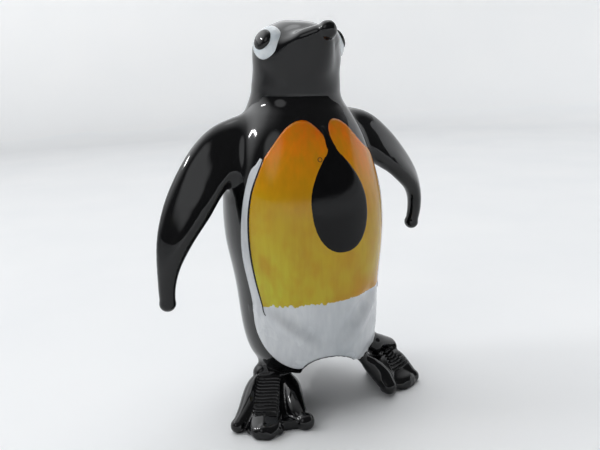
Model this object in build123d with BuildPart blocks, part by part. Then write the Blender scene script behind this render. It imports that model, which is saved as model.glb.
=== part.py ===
"""Flame-worked glass penguin: black glass gathers fused into one figure, with an enamelled front.

Millimetres. +Z is up, the figure faces -Y and its own right side is -X.
"""

import os
from math import cos, pi, radians, sin

from build123d import *

# Torso
TORSO_BASE = 7.0  # underside of the torso above the floor
TORSO_HEIGHT = 48.5  # underside to the neck seat
TORSO_WIDTH = 30.0
TORSO_DEPTH = 28.6
TORSO_LEAN = 2.4  # how far the neck seat stands behind the underside
NECK_DIAMETER = 17.4
# height, width and depth at each level, as shares of the torso's height, width and depth
TORSO_LEVEL_SHARES = (
    (0.0, 0.66, 0.68),
    (0.035, 0.77, 0.77),
    (0.09, 0.845, 0.835),
    (0.2, 0.89, 0.88),
    (0.38, 0.945, 0.94),
    (0.55, 1.0, 1.0),
    (0.7, 0.97, 0.965),
    (0.82, 0.88, 0.87),
    (0.91, 0.76, 0.76),
    (0.965, 0.65, 0.665),
)

# Arch between the legs, a tunnel that faces somewhat to the figure's right
ARCH_WIDTH = 10.2
ARCH_RISE = 4.0
ARCH_TURN_ANGLE = 28.0
ARCH_OFFSET = 4.0  # tunnel's middle from the neck's axis, square to the way it faces

# Enamel coats, sunk flush into the front of the torso
ENAMEL_THICKNESS = 0.35
PANEL_SETBACK = 4.6  # side edges of the white coat, in front of the neck's axis
CHEST_SETBACK = 5.9  # side edges of the yellow coat
CHEST_LOW_EDGE = 20.6  # lower edge of the yellow coat at its middle, above the floor
CHEST_SIDE_RISE = 1.2  # how much that edge climbs at the sides
LOBE_TOP = 52.3  # tops of the two yellow lobes, above the floor
LOBE_SPREAD = 7.6  # from one lobe's top to the other's
DROP_WIDTH = 11.2
DROP_LENGTH = 18.0  # from the waist under the throat to the bottom of the drop
DROP_LOW_EDGE = 30.2  # bottom of the drop, above the floor
DROP_WAIST = 1.3  # width of the black neck above the drop
# sideways and height, as shares of half the torso's width and of its height
PANEL_SHOULDER_SHARES = ((0.907, 0.732), (0.693, 0.841), (0.453, 0.911))
PANEL_CORNER_SHARES = ((0.9, 0.206), (0.813, 0.115), (0.667, 0.06))
# sideways and height of the lobe's inner side, as shares of the lobes' spread and their rise from the waist
LOBE_INNER_SHARES = (0.2, 0.6)
DROP_ROUND_SHARE = 0.46  # the drop's rounded bottom, as a share of its length
# down from the waist and sideways, as shares of the drop's length and of half its width
DROP_SHOULDER_SHARES = ((0.32, 0.79), (0.15, 0.45))

# Head, a round bullet whose axis leans forwards from the neck seat
HEAD_HEIGHT = 14.2  # along the axis
HEAD_DIAMETER = 15.8
HEAD_LEAN_ANGLE = 9.0
# along the axis and out from it, as shares of the head's height and radius
HEAD_SHARES = ((0.19, 1.02), (0.42, 0.99), (0.64, 1.0), (0.82, 0.88), (0.945, 0.54))

# Beak, a wedge whose underside carries on the line of the throat
BEAK_LENGTH = 10.0  # from its root inside the head to the centre of the ball tip
BEAK_ROOT_WIDTH = 11.2
BEAK_ROOT_DEPTH = 10.8
BEAK_TIP_DIAMETER = 2.6
BEAK_RISE_ANGLE = 36.0
BEAK_HEIGHT_SHARE = 0.42  # root centre, as a share of the head's height
BEAK_ROOT_SHARE = 0.27  # root centre in front of the neck's axis, as a share of the head's diameter
# along the beak, and its swell from the tip's size to the root's
BEAK_SHARES = ((0.0, 1.0), (0.35, 0.69), (0.66, 0.31), (1.0, 0.0))

# Eyes
EYE_DIAMETER = 6.6  # of the whole bead, most of it inside the head
EYE_PROUD = 1.3  # how far the white bead stands out of the head
EYE_HEIGHT_SHARE = 0.74
EYE_SIDE_SHARE = 0.445  # of the head's diameter, from its mid-plane
EYE_FRONT_SHARE = 0.23  # of the head's diameter, in front of the neck's axis
EYE_FRONT_ANGLE = 22.0  # how far the eye turns from the side to the front
EYE_RISE_ANGLE = 24.0
PUPIL_DIAMETER = 3.8  # of the whole bead, most of it inside the white one
PUPIL_PROUD = 0.5  # how far the pupil stands out of the white bead
PUPIL_BACK_ANGLE = 12.0  # how far the pupil looks behind the white bead's middle

# Flippers
SHOULDER_HALF_SPAN = 6.0  # where a flipper's middle line starts, inside the torso
SHOULDER_HEIGHT = 50.3
FLIPPER_REACH = 21.0  # sideways from that start to the tip
FLIPPER_WIDTH = 9.4
FLIPPER_THICKNESS = 3.9
FLIPPER_TIP_DIAMETER = 2.9
FLIPPER_FACE_ANGLE = 53.0  # how far the flat faces turn from the front to the side
RIGHT_FLIPPER_DROP = 28.0  # shoulder to tip
LEFT_FLIPPER_DROP = 21.4
RIGHT_FLIPPER_BOW = 0.3  # how far the middle line swells outwards
LEFT_FLIPPER_BOW = 2.6
# reach, drop, width and thickness along a flipper
FLIPPER_SHARES = (
    (0.0, 0.0, 1.0, 1.7),
    (0.24, 0.05, 1.06, 1.55),
    (0.43, 0.125, 1.05, 1.28),
    (0.6, 0.255, 1.0, 1.06),
    (0.74, 0.41, 0.92, 0.96),
    (0.86, 0.57, 0.74, 0.88),
    (0.94, 0.73, 0.51, 0.78),
    (0.985, 0.88, 0.36, 0.72),
    (1.0, 1.0, 0.3, 0.68),
)

# Feet, each set out from its ankle along its own heading
RIGHT_ANKLE_OUT = 9.6  # sideways from the neck's axis
LEFT_ANKLE_OUT = 13.5
RIGHT_ANKLE_FORWARD = 3.6  # in front of the neck's axis
LEFT_ANKLE_FORWARD = 7.2
ANKLE_WIDTH = 8.8  # of the roll of glass across the top of the foot
ANKLE_THICKNESS = 4.4
ANKLE_INSET = 0.9  # middle of that roll inwards from the foot's middle line
ANKLE_LIFT = 1.3  # its inner end above the underside of the torso
ANKLE_DROOP = 2.6  # how much lower its outer end lies
ANKLE_CORE_SHARE = 0.8  # of the roll's half thickness, for the neck of glass that runs up into it
RIGHT_FOOT_SPLAY = 33.0  # how far the heading turns outwards
LEFT_FOOT_SPLAY = 12.0
FOOT_LENGTH = 13.6  # ankle to the front of the middle toe, on the right foot
LEFT_FOOT_SHARE = 0.54  # the left foot's lengths and the reach of its toes, as a share of the right one's
HEEL_LENGTH = 3.2
FOOT_WIDTH = 7.0  # across the middle of the foot
FOOT_HEIGHT = 6.3
SOLE_DEPTH = 0.5  # how much of the round underside is pressed flat
# forward, width and height, as shares of the heel's or the foot's length and of its width and height
HEEL_SHARES = ((1.0, 0.46, 0.4), (0.62, 0.8, 0.76))
FOOT_SHARES = (
    (0.0, 0.98, 1.0),
    (0.24, 1.0, 0.98),
    (0.52, 0.97, 0.7),
    (0.77, 0.9, 0.46),
    (0.93, 0.66, 0.36),
    (1.0, 0.34, 0.2),
)

# Side toes: a rod on each side of the foot that ends in a ball
TOE_DIAMETER = 3.6
OUTER_TOE_REACH = 4.8  # sideways from the foot's middle line to the ball
OUTER_TOE_LENGTH = 10.6
OUTER_BALL_DIAMETER = 2.7
INNER_TOE_REACH = 6.9
INNER_TOE_LENGTH = 9.2
INNER_BALL_DIAMETER = 3.3
# forward, sideways, height and thickness, as shares of the toe's length and reach, the foot's height and the
# toe's diameter
TOE_SHARES = (
    (0.0, 0.3, 0.62, 1.05),
    (0.36, 0.6, 0.62, 1.0),
    (0.74, 0.74, 0.36, 0.95),
    (1.0, 1.0, 0.16, 0.72),
)

# Web between the middle and the inner toe
WEB_THICKNESS = 1.8
# forward and inwards, as shares of the foot's length and the inner toe's reach
WEB_SHARES = ((0.84, 0.0), (0.74, 0.9), (0.45, 0.75), (0.45, 0.3))

# Knuckles at the front of the middle toe
KNUCKLE_DIAMETER = 3.0
SIDE_KNUCKLE_DIAMETER = 2.2
KNUCKLE_SPREAD = 4.4  # from the outer knuckle to the inner one
KNUCKLE_SETBACK = 1.3  # behind the front of the middle toe
SIDE_KNUCKLE_SETBACK = 2.4

# Plier press on top of the foot
PRESS_WIDTH = 4.6
PRESS_LENGTH = 9.2
PRESS_ANGLE = 24.0
PRESS_HEIGHT = 4.4  # middle of the pressed face, above the floor
PRESS_FORWARD = 6.0  # middle of the pressed face, in front of the ankle
RIB_COUNT = 13  # on the right foot
RIB_GROOVE_WIDTH = 0.32  # along the pressed face
RIB_GROOVE_DEPTH = 0.28

# Tail, which props the figure from behind
TAIL_WIDTH = 7.4
TAIL_THICKNESS = 5.4
TAIL_TIP_WIDTH = 4.2
TAIL_TIP_THICKNESS = 2.0
TAIL_HEIGHT = 12.0  # root centre, above the floor
TAIL_TUCK = 0.7  # tip centre in front of half the torso's depth
TAIL_ROOT_SHARE = 0.2  # root centre behind the neck's axis, as a share of the torso's depth
# along the tail, and its swell from the tip's size to the root's
TAIL_SHARES = ((0.0, 1.0), (0.5, 0.7), (0.8, 0.3), (1.0, 0.0))

CUT_OVERRUN = 2.0  # how far a cutting block runs past what it cuts

RIGHT = -1
LEFT = 1
neck_height = TORSO_BASE + TORSO_HEIGHT


def lofted(levels):
    """One smooth form through ellipses, each given by its plane, its long and its short radius."""
    with BuildPart() as form:
        for plane, long_radius, short_radius in levels:
            with BuildSketch(plane):
                Ellipse(long_radius, short_radius)
        loft()
    return form.part


def along_path(points, sizes, across):
    """Levels square to a path, each with its own long and short radius and its long axis near across."""
    levels = []
    for index, (point, size) in enumerate(zip(points, sizes)):
        before = points[max(index - 1, 0)]
        after = points[min(index + 1, len(points) - 1)]
        levels.append((Plane(point, x_dir=across(after - before), z_dir=after - before), *size))
    return levels


def torso_form(inset):
    """The body of the torso, with its sides drawn in by the inset."""
    levels = []
    for height_share, width_share, depth_share in TORSO_LEVEL_SHARES:
        back = TORSO_LEAN * (height_share - 1)
        plane = Plane((0, back, TORSO_BASE + TORSO_HEIGHT * height_share))
        levels.append((plane, TORSO_WIDTH * width_share / 2 - inset, TORSO_DEPTH * depth_share / 2 - inset))
    neck_radius = NECK_DIAMETER / 2 - inset
    levels.append((Plane((0, 0, neck_height)), neck_radius, neck_radius))
    return lofted(levels)


def front_block(outline, setback):
    """A block with the given front outline, from the setback forwards past the torso."""
    with BuildPart() as block:
        with BuildSketch(Plane.XZ.offset(setback)):
            add(outline)
        extrude(amount=TORSO_DEPTH)
    return block.part


def torso_point(sideways_share, height_share):
    """A point of the front view, in shares of half the torso's width and of its height."""
    return (TORSO_WIDTH / 2 * sideways_share, TORSO_BASE + TORSO_HEIGHT * height_share)


# Enamel outlines, drawn as seen from the front
waist_height = DROP_LOW_EDGE + DROP_LENGTH
lobe_rise = LOBE_TOP - waist_height
clear_width = TORSO_WIDTH / 2 + CUT_OVERRUN

with BuildSketch() as panel_outline:
    with BuildLine():
        lobe = Spline(
            *(torso_point(*shares) for shares in PANEL_SHOULDER_SHARES),
            (LOBE_SPREAD / 2, LOBE_TOP),
            (LOBE_SPREAD * LOBE_INNER_SHARES[0], waist_height + lobe_rise * LOBE_INNER_SHARES[1]),
            (DROP_WAIST / 2, waist_height),
        )
        corner = Spline(
            *(torso_point(*shares) for shares in PANEL_CORNER_SHARES),
            (ARCH_WIDTH / 2, TORSO_BASE - CUT_OVERRUN),
        )
        Polyline(lobe @ 0, (clear_width, (lobe @ 0).Y), (clear_width, (corner @ 0).Y), corner @ 0)
        Polyline(corner @ 1, (0, TORSO_BASE - CUT_OVERRUN), (0, waist_height), lobe @ 1)
    make_face()
    mirror(about=Plane.YZ)

with BuildSketch() as chest_outline:
    with BuildLine():
        edge = ThreePointArc(
            (-clear_width, CHEST_LOW_EDGE + CHEST_SIDE_RISE),
            (0, CHEST_LOW_EDGE),
            (clear_width, CHEST_LOW_EDGE + CHEST_SIDE_RISE),
        )
        Polyline(edge @ 1, (clear_width, neck_height), (-clear_width, neck_height), edge @ 0)
    make_face()

drop_half = DROP_WIDTH / 2

with BuildSketch() as drop_outline:
    with BuildLine():
        bottom = EllipticalCenterArc(
            (0, DROP_LOW_EDGE + DROP_LENGTH * DROP_ROUND_SHARE),
            drop_half,
            DROP_LENGTH * DROP_ROUND_SHARE,
            start_angle=-90,
            arc_size=90,
        )
        shoulder = Spline(
            bottom @ 1,
            *((drop_half * out, waist_height - DROP_LENGTH * down) for down, out in DROP_SHOULDER_SHARES),
            (DROP_WAIST / 2, waist_height),
            tangents=[(0, 1), (0, 1)],
        )
        Polyline(shoulder @ 1, (0, waist_height), bottom @ 0)
    make_face()
    mirror(about=Plane.YZ)

torso_body = torso_form(0)
drop_block = front_block(drop_outline.sketch, CHEST_SETBACK)
chest_block = front_block(chest_outline.sketch, CHEST_SETBACK)

arch_turn = radians(ARCH_TURN_ANGLE)
arch_aside = Vector(cos(arch_turn), -sin(arch_turn), 0)
arch_facing = Vector(-sin(arch_turn), -cos(arch_turn), 0)
arch_plane = Plane(arch_aside * ARCH_OFFSET, x_dir=arch_aside, z_dir=arch_facing)

with BuildPart() as legs_arch:
    with BuildSketch(arch_plane):
        with Locations((0, TORSO_BASE)):
            Ellipse(ARCH_WIDTH / 2, ARCH_RISE)
    extrude(amount=TORSO_DEPTH, both=True)

with BuildPart() as front_coat:
    add(torso_body)
    add(torso_form(ENAMEL_THICKNESS), mode=Mode.SUBTRACT)
    add(front_block(panel_outline.sketch, PANEL_SETBACK), mode=Mode.INTERSECT)
    add(legs_arch.part, mode=Mode.SUBTRACT)

with BuildPart() as torso:
    add(torso_body)
    add(legs_arch.part, mode=Mode.SUBTRACT)
    add(front_coat.part, mode=Mode.SUBTRACT)

with BuildPart() as throat_drop:
    add(front_coat.part)
    add(drop_block, mode=Mode.INTERSECT)

with BuildPart() as chest_enamel:
    add(front_coat.part)
    add(chest_block, mode=Mode.INTERSECT)
    add(drop_block, mode=Mode.SUBTRACT)

with BuildPart() as belly_enamel:
    add(front_coat.part)
    add(chest_block, mode=Mode.SUBTRACT)

# Head, turned about its leaning axis and cut level at the neck seat
neck_seat = Plane.XY.offset(neck_height)
head_lean = radians(HEAD_LEAN_ANGLE)
head_axis = Vector(0, -sin(head_lean), cos(head_lean))

with BuildPart() as head:
    with BuildSketch(Plane(neck_seat.origin, x_dir=(1, 0, 0), z_dir=Vector(1, 0, 0).cross(head_axis))):
        with BuildLine():
            profile = Spline(
                (NECK_DIAMETER / 2, 0),
                *((HEAD_DIAMETER / 2 * out, HEAD_HEIGHT * along) for along, out in HEAD_SHARES),
                (0, HEAD_HEIGHT),
                tangents=[(-HEAD_DIAMETER, HEAD_HEIGHT), (-1, 0)],
            )
            Polyline(
                profile @ 0, (NECK_DIAMETER / 2, -NECK_DIAMETER / 2), (0, -NECK_DIAMETER / 2), profile @ 1
            )
        make_face()
    revolve(axis=Axis(neck_seat.origin, head_axis))
    split(bisect_by=neck_seat, keep=Keep.TOP)

# Beak
beak_root = Vector(0, -HEAD_DIAMETER * BEAK_ROOT_SHARE, neck_height + HEAD_HEIGHT * BEAK_HEIGHT_SHARE)
beak_heading = Vector(0, -cos(radians(BEAK_RISE_ANGLE)), sin(radians(BEAK_RISE_ANGLE)))
beak_tip = beak_root + beak_heading * BEAK_LENGTH
beak_levels = []
for along_share, swell_share in BEAK_SHARES:
    centre = beak_root + beak_heading * (BEAK_LENGTH * along_share)
    beak_levels.append(
        (
            Plane(centre, x_dir=(1, 0, 0), z_dir=beak_heading),
            (BEAK_TIP_DIAMETER + (BEAK_ROOT_WIDTH - BEAK_TIP_DIAMETER) * swell_share) / 2,
            (BEAK_TIP_DIAMETER + (BEAK_ROOT_DEPTH - BEAK_TIP_DIAMETER) * swell_share) / 2,
        )
    )

with BuildPart() as beak:
    add(lofted(beak_levels))
    with Locations(beak_tip):
        Sphere(BEAK_TIP_DIAMETER / 2)
    add(head.part, mode=Mode.SUBTRACT)


def eye_heading(front_angle):
    """The way the right eye looks, out to the side, forwards and up."""
    front = radians(front_angle)
    rise = radians(EYE_RISE_ANGLE)
    return Vector(-cos(rise) * cos(front), -cos(rise) * sin(front), sin(rise))


def eye(side):
    """The white bead of one eye and the pupil set into it, formed on the right."""
    seat = Vector(
        -HEAD_DIAMETER * EYE_SIDE_SHARE,
        -HEAD_DIAMETER * EYE_FRONT_SHARE,
        neck_height + HEAD_HEIGHT * EYE_HEIGHT_SHARE,
    )
    centre = seat - eye_heading(EYE_FRONT_ANGLE) * (EYE_DIAMETER / 2 - EYE_PROUD)
    pupil_depth = (EYE_DIAMETER - PUPIL_DIAMETER) / 2 + PUPIL_PROUD
    pupil_centre = centre + eye_heading(EYE_FRONT_ANGLE - PUPIL_BACK_ANGLE) * pupil_depth
    with BuildPart() as white:
        with Locations(centre):
            Sphere(EYE_DIAMETER / 2)
        add(head.part, mode=Mode.SUBTRACT)
        if side == LEFT:
            mirror(about=Plane.YZ, mode=Mode.REPLACE)
    with BuildPart() as pupil:
        with Locations(pupil_centre):
            Sphere(PUPIL_DIAMETER / 2)
        with Locations(centre):
            Sphere(EYE_DIAMETER / 2, mode=Mode.SUBTRACT)
        if side == LEFT:
            mirror(about=Plane.YZ, mode=Mode.REPLACE)
    return white, pupil


def flipper(side, drop, bow):
    """One flipper, formed on the right: a flattened rod that bends out and down to a ball tip."""
    face = radians(FLIPPER_FACE_ANGLE)
    outer_face = Vector(-sin(face), -cos(face), 0)
    points = []
    sizes = []
    for reach_share, drop_share, width_share, thickness_share in FLIPPER_SHARES:
        out = SHOULDER_HALF_SPAN + FLIPPER_REACH * reach_share + bow * sin(pi * drop_share)
        points.append(Vector(-out, 0, SHOULDER_HEIGHT - drop * drop_share))
        sizes.append((FLIPPER_WIDTH * width_share / 2, FLIPPER_THICKNESS * thickness_share / 2))
    with BuildPart() as limb:
        add(lofted(along_path(points, sizes, outer_face.cross)))
        with Locations(points[-1]):
            Sphere(FLIPPER_TIP_DIAMETER / 2)
        if side == LEFT:
            mirror(about=Plane.YZ, mode=Mode.REPLACE)
        add(torso_body, mode=Mode.SUBTRACT)
        add(head.part, mode=Mode.SUBTRACT)
    return limb


def foot(side, ankle_out, ankle_forward, splay, size_share):
    """One foot, formed on the right: ankle, heel, pressed middle, two rod toes, a web and knuckles."""
    turn = radians(splay)
    heading = Vector(-sin(turn), -cos(turn), 0)
    outward = Vector(-cos(turn), sin(turn), 0)
    ankle = Vector(-ankle_out, -ankle_forward, 0)
    foot_length = FOOT_LENGTH * size_share
    press_length = PRESS_LENGTH * size_share
    rib_count = round(RIB_COUNT * size_share)

    def at(forward, sideways, height):
        return ankle + heading * forward + outward * sideways + Vector(0, 0, height)

    def across(_):
        return outward

    body_levels = []
    heel_rows = [(-HEEL_LENGTH * forward, width, height) for forward, width, height in HEEL_SHARES]
    foot_rows = [(foot_length * forward, width, height) for forward, width, height in FOOT_SHARES]
    for forward, width_share, height_share in heel_rows + foot_rows:
        top = FOOT_HEIGHT * height_share
        plane = Plane(at(forward, 0, (top - SOLE_DEPTH) / 2), x_dir=outward, z_dir=heading)
        body_levels.append((plane, FOOT_WIDTH * width_share / 2, (top + SOLE_DEPTH) / 2))

    ankle_radius = ANKLE_THICKNESS / 2
    roll_half = ANKLE_WIDTH / 2 - ankle_radius
    inner_end = at(0, -ANKLE_INSET - roll_half, TORSO_BASE + ANKLE_LIFT)
    outer_end = at(0, -ANKLE_INSET + roll_half, TORSO_BASE + ANKLE_LIFT - ANKLE_DROOP)
    roll = outer_end - inner_end
    ankle_points = [at(0, 0, FOOT_HEIGHT / 2), (inner_end + outer_end) / 2]
    ankle_sizes = [(FOOT_WIDTH / 2, FOOT_WIDTH / 2), (roll_half, ankle_radius * ANKLE_CORE_SHARE)]
    web = [(foot_length * forward, INNER_TOE_REACH * size_share * inwards) for forward, inwards in WEB_SHARES]

    toes = (
        (OUTER_TOE_LENGTH * size_share, OUTER_TOE_REACH * size_share, OUTER_BALL_DIAMETER),
        (INNER_TOE_LENGTH * size_share, -INNER_TOE_REACH * size_share, INNER_BALL_DIAMETER),
    )
    knuckles = (
        (KNUCKLE_SETBACK, 0, KNUCKLE_DIAMETER),
        (SIDE_KNUCKLE_SETBACK, KNUCKLE_SPREAD / 2, SIDE_KNUCKLE_DIAMETER),
        (SIDE_KNUCKLE_SETBACK, -KNUCKLE_SPREAD / 2, SIDE_KNUCKLE_DIAMETER),
    )
    slope = radians(PRESS_ANGLE)
    press = Plane(
        at(PRESS_FORWARD * size_share, 0, PRESS_HEIGHT),
        x_dir=heading * cos(slope) - Vector(0, 0, sin(slope)),
        z_dir=heading * sin(slope) + Vector(0, 0, cos(slope)),
    )

    with BuildPart() as paddle:
        add(lofted(body_levels))
        add(lofted(along_path(ankle_points, ankle_sizes, across)))
        with BuildSketch(Plane(inner_end, x_dir=heading, z_dir=roll)):
            Circle(ankle_radius)
        extrude(amount=roll.length)
        with Locations(inner_end, outer_end):
            Sphere(ankle_radius)
        with BuildSketch(press):
            Rectangle(press_length, PRESS_WIDTH)
        extrude(amount=FOOT_HEIGHT, mode=Mode.SUBTRACT)
        with BuildSketch(press):
            with GridLocations(press_length / rib_count, 0, rib_count, 1):
                Rectangle(RIB_GROOVE_WIDTH, PRESS_WIDTH)
        extrude(amount=-RIB_GROOVE_DEPTH, mode=Mode.SUBTRACT)
        for length, reach, ball in toes:
            points = []
            sizes = []
            for forward, sideways, height, thickness in TOE_SHARES:
                points.append(at(length * forward, reach * sideways, FOOT_HEIGHT * height))
                sizes.append((TOE_DIAMETER * thickness / 2, TOE_DIAMETER * thickness / 2))
            add(lofted(along_path(points, sizes, across)))
            with Locations(points[-1]):
                Sphere(ball / 2)
        with BuildSketch(Plane(ankle, x_dir=heading, z_dir=(0, 0, 1))):
            Polygon(*web, align=None)
        extrude(amount=WEB_THICKNESS)
        for setback, sideways, diameter in knuckles:
            with Locations(at(foot_length - setback, sideways, diameter / 2 - SOLE_DEPTH)):
                Sphere(diameter / 2)
        split(bisect_by=Plane.XY, keep=Keep.TOP)
        if side == LEFT:
            mirror(about=Plane.YZ, mode=Mode.REPLACE)
        add(torso_body, mode=Mode.SUBTRACT)
    return paddle


# Tail
tail_root = Vector(0, TORSO_DEPTH * TAIL_ROOT_SHARE, TAIL_HEIGHT)
tail_tip = Vector(0, TORSO_DEPTH / 2 - TAIL_TUCK, TAIL_TIP_THICKNESS / 2 - SOLE_DEPTH)
tail_line = tail_tip - tail_root
tail_levels = []
for along_share, swell_share in TAIL_SHARES:
    tail_levels.append(
        (
            Plane(tail_root + tail_line * along_share, x_dir=(1, 0, 0), z_dir=tail_line),
            (TAIL_TIP_WIDTH + (TAIL_WIDTH - TAIL_TIP_WIDTH) * swell_share) / 2,
            (TAIL_TIP_THICKNESS + (TAIL_THICKNESS - TAIL_TIP_THICKNESS) * swell_share) / 2,
        )
    )

with BuildPart() as tail:
    add(lofted(tail_levels))
    split(bisect_by=Plane.XY, keep=Keep.TOP)
    add(torso.part, mode=Mode.SUBTRACT)

right_eye_white, right_pupil = eye(RIGHT)
left_eye_white, left_pupil = eye(LEFT)
right_flipper = flipper(RIGHT, RIGHT_FLIPPER_DROP, RIGHT_FLIPPER_BOW)
left_flipper = flipper(LEFT, LEFT_FLIPPER_DROP, LEFT_FLIPPER_BOW)
right_foot = foot(RIGHT, RIGHT_ANKLE_OUT, RIGHT_ANKLE_FORWARD, RIGHT_FOOT_SPLAY, 1)
left_foot = foot(LEFT, LEFT_ANKLE_OUT, LEFT_ANKLE_FORWARD, LEFT_FOOT_SPLAY, LEFT_FOOT_SHARE)

pieces = {
    "torso": torso,
    "head": head,
    "beak": beak,
    "right_eye_white": right_eye_white,
    "left_eye_white": left_eye_white,
    "right_pupil": right_pupil,
    "left_pupil": left_pupil,
    "right_flipper": right_flipper,
    "left_flipper": left_flipper,
    "right_foot": right_foot,
    "left_foot": left_foot,
    "tail": tail,
    "belly_enamel": belly_enamel,
    "chest_enamel": chest_enamel,
    "throat_drop": throat_drop,
}

# The origin is the middle of the footprint, on the floor
extent = Compound([piece.part for piece in pieces.values()]).bounding_box()
to_origin = Location((-(extent.min.X + extent.max.X) / 2, -(extent.min.Y + extent.max.Y) / 2, 0))

os.makedirs("parts", exist_ok=True)
for name, piece in pieces.items():
    placed = piece.part.moved(to_origin)
    placed.label = name
    export_step(placed, f"parts/{name}.step")
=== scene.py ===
import math

import bmesh
import bpy
import numpy as np
from mathutils import Matrix, Vector, geometry, noise
from mathutils.bvhtree import BVHTree


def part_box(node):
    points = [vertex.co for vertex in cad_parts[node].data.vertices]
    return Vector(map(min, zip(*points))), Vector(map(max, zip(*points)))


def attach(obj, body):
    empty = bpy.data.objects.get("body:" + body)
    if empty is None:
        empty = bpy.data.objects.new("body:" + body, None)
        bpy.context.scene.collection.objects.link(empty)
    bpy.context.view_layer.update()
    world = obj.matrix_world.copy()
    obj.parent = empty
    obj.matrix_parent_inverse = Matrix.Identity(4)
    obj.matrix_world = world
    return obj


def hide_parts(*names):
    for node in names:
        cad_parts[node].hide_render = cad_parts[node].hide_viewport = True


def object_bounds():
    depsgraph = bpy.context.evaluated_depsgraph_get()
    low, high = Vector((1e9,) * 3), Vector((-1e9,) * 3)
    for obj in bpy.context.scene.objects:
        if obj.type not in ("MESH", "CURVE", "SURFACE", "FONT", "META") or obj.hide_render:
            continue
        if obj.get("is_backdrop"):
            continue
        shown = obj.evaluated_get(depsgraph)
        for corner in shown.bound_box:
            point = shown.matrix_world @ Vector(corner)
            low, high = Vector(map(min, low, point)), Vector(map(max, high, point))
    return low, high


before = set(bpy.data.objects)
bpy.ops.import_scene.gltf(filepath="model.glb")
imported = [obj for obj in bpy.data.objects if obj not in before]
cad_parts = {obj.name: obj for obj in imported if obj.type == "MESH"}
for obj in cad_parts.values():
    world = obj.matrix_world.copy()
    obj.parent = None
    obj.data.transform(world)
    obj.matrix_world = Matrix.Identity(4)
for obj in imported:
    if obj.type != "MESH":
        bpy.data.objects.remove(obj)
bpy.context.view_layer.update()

# Everything is shaped in millimetres about the neck's axis, then set into the frame in metres.
# The figure faces -Y, and its own right side is -X.
MM = 0.001
TORSO_OFFSET = 1.08  # the torso's middle stands this far in front of the neck's axis
torso_low, torso_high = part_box("torso")
torso_middle = (np.array(torso_low) + np.array(torso_high)) / 2
ORIGIN = np.array([torso_middle[0], torso_middle[1] + TORSO_OFFSET * MM, 0.0])
TORSO_BASE = torso_low[2] / MM
NECK_HEIGHT = torso_high[2] / MM
RIGHT = -1
LEFT = 1
MIRROR = (-1, 1, 1)
UP = (0.0, 0.0, 1.0)
FAR = 99.0  # a distance beyond all that is measured here
TINY = 1e-12  # keeps a division from zero

# The black glass pieces, and the coats whose solids fill the torso's recesses
LABELS = ("torso", "head", "beak", "right_flipper", "left_flipper", "right_foot", "left_foot", "tail")
INLAYS = ("belly_enamel", "chest_enamel", "throat_drop")


# Meshes as arrays


def values_of(items, name, each, kind=float):
    """A property of all items of a mesh, as one run of numbers."""
    values = np.empty(len(items) * each, dtype=kind)
    items.foreach_get(name, values)
    return values


def node_arrays(name):
    """Points in millimetres and triangles of a CAD node."""
    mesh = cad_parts[name].data
    mesh.calc_loop_triangles()
    points = values_of(mesh.vertices, "co", 3).reshape(-1, 3)
    triangles = values_of(mesh.loop_triangles, "vertices", 3, np.int32).reshape(-1, 3)
    return (points - ORIGIN) / MM, triangles


def merged(parts):
    """Several pairs of points and faces as one pair."""
    points = []
    faces = []
    start = 0
    for part_points, part_faces in parts:
        points.append(np.asarray(part_points))
        faces.extend([[i + start for i in face] for face in part_faces])
        start += len(part_points)
    return np.vstack(points), faces


def band_faces(rows, sides, first=0):
    """Quads between each row of points and the next, where every row is a closed ring."""
    faces = []
    for row in range(rows - 1):
        here = first + row * sides
        after = here + sides
        for i in range(sides):
            k = (i + 1) % sides
            faces.append([here + i, after + i, after + k, here + k])
    return faces


def add_object(name, data):
    made = bpy.data.objects.new(name, data)
    bpy.context.scene.collection.objects.link(made)
    return made


def remeshed(points, faces, voxel):
    """The outer skin of closed meshes that overlap, as points and quads."""
    mesh = bpy.data.meshes.new("work")
    mesh.from_pydata(points.tolist(), [], faces)
    work = add_object("work", mesh)
    modifier = work.modifiers.new("skin", "REMESH")
    modifier.mode = "VOXEL"
    modifier.voxel_size = voxel
    graph = bpy.context.evaluated_depsgraph_get()
    skin = work.evaluated_get(graph).to_mesh()
    skin_points = values_of(skin.vertices, "co", 3).reshape(-1, 3)
    skin_quads = values_of(skin.loops, "vertex_index", 1, np.int32).reshape(-1, 4)
    bpy.data.objects.remove(work)
    bpy.data.meshes.remove(mesh)
    return skin_points, skin_quads


def edges_of(quads):
    """Each edge of the quads once, as a pair of points."""
    pairs = np.vstack([quads[:, [i, (i + 1) % 4]] for i in range(4)])
    return np.unique(np.sort(pairs, axis=1), axis=0)


PULL = 0.5  # share of the way that a point moves in a round


def smoothed(points, edges, weight, rounds, back=0.0):
    """Moves points towards the mean of their neighbours; back undoes the shrinkage after each round."""
    count = len(points)
    start, end = edges.T
    degree = np.maximum(np.bincount(start, minlength=count) + np.bincount(end, minlength=count), 1)
    points = points.copy()

    def draw(share):
        mean = np.empty_like(points)
        for axis in range(3):
            column = points[:, axis]
            mean[:, axis] = np.bincount(start, column[end], count) + np.bincount(end, column[start], count)
        mean /= degree[:, None]
        points[:] += (weight * share)[:, None] * (mean - points)

    for _ in range(rounds):
        draw(PULL)
        if back:
            draw(-back)
    return points


def point_normals(points, quads):
    """Normals at the points, as the mean of those of the quads around them."""
    diagonal_a = points[quads[:, 2]] - points[quads[:, 0]]
    diagonal_b = points[quads[:, 3]] - points[quads[:, 1]]
    face = np.cross(diagonal_a, diagonal_b)
    total = np.zeros_like(points)
    for axis in range(3):
        total[:, axis] = np.bincount(quads.ravel(), np.repeat(face[:, axis], 4), len(points))
    return total / np.maximum(np.linalg.norm(total, axis=1), TINY)[:, None]


def unit_rows(vectors):
    return vectors / np.linalg.norm(vectors, axis=1)[:, None]


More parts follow.
